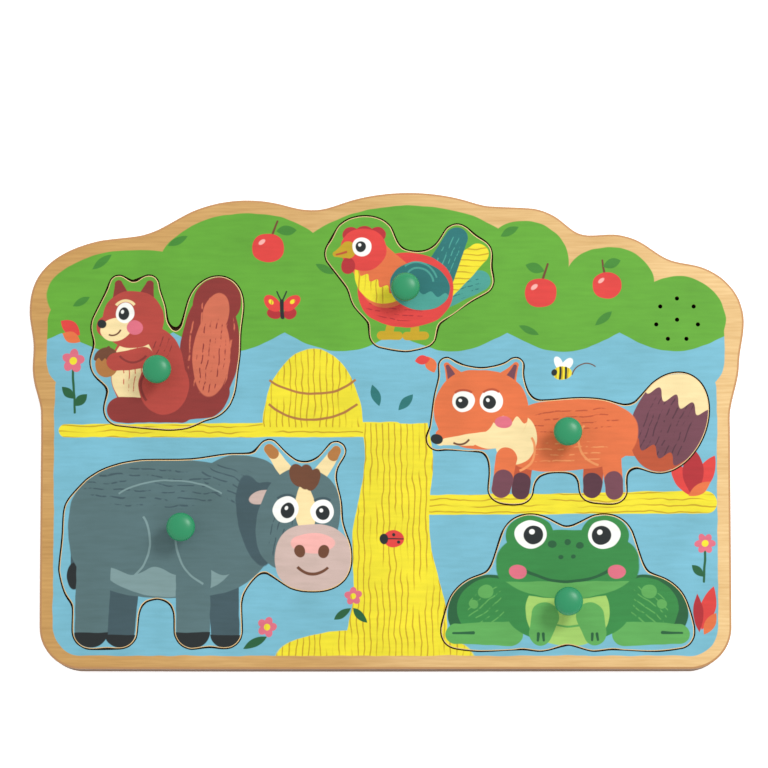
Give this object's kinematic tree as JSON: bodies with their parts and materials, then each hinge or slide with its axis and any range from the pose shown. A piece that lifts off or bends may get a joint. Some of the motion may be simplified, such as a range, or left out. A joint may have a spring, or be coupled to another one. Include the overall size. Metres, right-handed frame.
{
  "type": "sound puzzle",
  "caption": "Flat wooden toy board with a leafy top edge: knobbed animal pieces lift out of their cut-outs over light sensors, with a speaker and a battery box inside.",
  "frame": {"origin": "under the middle of the board, on the surface that it lies on, face up", "axes": "+X along the picture to the right, +Y up the picture to the leafy edge, +Z out of the printed face"},
  "size_m": [0.301, 0.2012, 0.036],
  "materials": {
    "printed_face": "printed plywood with a bare border, satin varnish",
    "fibreboard": "raw",
    "ox_print": "printed, satin varnish",
    "squirrel_print": "printed, satin varnish",
    "frog_print": "printed, satin varnish",
    "fox_print": "printed, satin varnish",
    "rooster_print": "printed, satin varnish",
    "knob_green": "gloss",
    "dark_plastic": "fine texture",
    "screw_steel": "zinc plated",
    "circuit_green": "solder mask",
    "chip_resin": "gloss",
    "capacitor_sleeve": "gloss",
    "bush_nylon": "matt",
    "gasket_foam": "foam",
    "speaker_steel": "pressed steel",
    "cone_film": "matt film",
    "magnet_iron": "nickel plated",
    "sensor_face": "clear resin",
    "pale_sleeve": "matt",
    "dark_sleeve": "matt",
    "red_sleeve": "matt",
    "cell_jacket": "printed sleeve",
    "contact_steel": "nickel plated"
  },
  "bodies": {
    "board": {"face_plate": "printed_face", "recess_floor": "fibreboard", "spacer_frame": "fibreboard", "back_plate": "fibreboard", "battery_box": "dark_plastic", "back_screw_1": "screw_steel", "back_screw_2": "screw_steel", "back_screw_3": "screw_steel", "back_screw_4": "screw_steel", "back_screw_5": "screw_steel", "back_screw_6": "screw_steel", "back_screw_7": "screw_steel", "box_screw_1": "screw_steel", "box_screw_2": "screw_steel", "circuit_screw_1": "screw_steel", "circuit_screw_2": "screw_steel", "circuit_bush_1": "bush_nylon", "circuit_bush_2": "bush_nylon", "circuit_board": "circuit_green", "sound_chip": "chip_resin", "capacitor": "capacitor_sleeve", "speaker_gasket": "gasket_foam", "speaker_basket": "speaker_steel", "speaker_cone": "cone_film", "speaker_magnet": "magnet_iron", "speaker_lead": "dark_sleeve", "ox_light_sensor": "sensor_face", "squirrel_light_sensor": "sensor_face", "frog_light_sensor": "sensor_face", "fox_light_sensor": "sensor_face", "rooster_light_sensor": "sensor_face", "ox_sensor_lead": "pale_sleeve", "squirrel_sensor_lead": "pale_sleeve", "frog_sensor_lead": "pale_sleeve", "fox_sensor_lead": "pale_sleeve", "rooster_sensor_lead": "pale_sleeve", "battery_lead_plus": "red_sleeve", "battery_lead_minus": "dark_sleeve", "battery_1": "cell_jacket", "battery_2": "cell_jacket", "contact_plate_1": "contact_steel", "contact_plate_2": "contact_steel", "contact_spring_1": "contact_steel", "contact_spring_2": "contact_steel"},
    "ox": {"ox_piece": "ox_print", "ox_knob": "knob_green"},
    "squirrel": {"squirrel_piece": "squirrel_print", "squirrel_knob": "knob_green"},
    "frog": {"frog_piece": "frog_print", "frog_knob": "knob_green"},
    "fox": {"fox_piece": "fox_print", "fox_knob": "knob_green"},
    "rooster": {"rooster_piece": "rooster_print", "rooster_knob": "knob_green"},
    "door": {"battery_door": "dark_plastic"},
    "door_fastener": {"door_screw": "screw_steel"}
  },
  "joints": [
    {"name": "ox_lift", "type": "slide", "parent": "board", "child": "ox", "axis": [0, 0, 1], "range_m": [0, 0.04]},
    {"name": "squirrel_lift", "type": "slide", "parent": "board", "child": "squirrel", "axis": [0, 0, 1], "range_m": [0, 0.04]},
    {"name": "frog_lift", "type": "slide", "parent": "board", "child": "frog", "axis": [0, 0, 1], "range_m": [0, 0.04]},
    {"name": "fox_lift", "type": "slide", "parent": "board", "child": "fox", "axis": [0, 0, 1], "range_m": [0, 0.04]},
    {"name": "rooster_lift", "type": "slide", "parent": "board", "child": "rooster", "axis": [0, 0, 1], "range_m": [0, 0.04]},
    {"name": "door_swing", "type": "hinge", "parent": "board", "child": "door", "pos_m": [-0.02843, -0.05899, 0.0002], "axis": [0, 1, 0], "range_deg": [0, 30]},
    {"name": "door_screw_turn", "type": "hinge", "parent": "door", "child": "door_fastener", "pos_m": [0.02957, -0.05899, 0.0002], "axis": [0, 0, -1], "continuous": true}
  ]
}
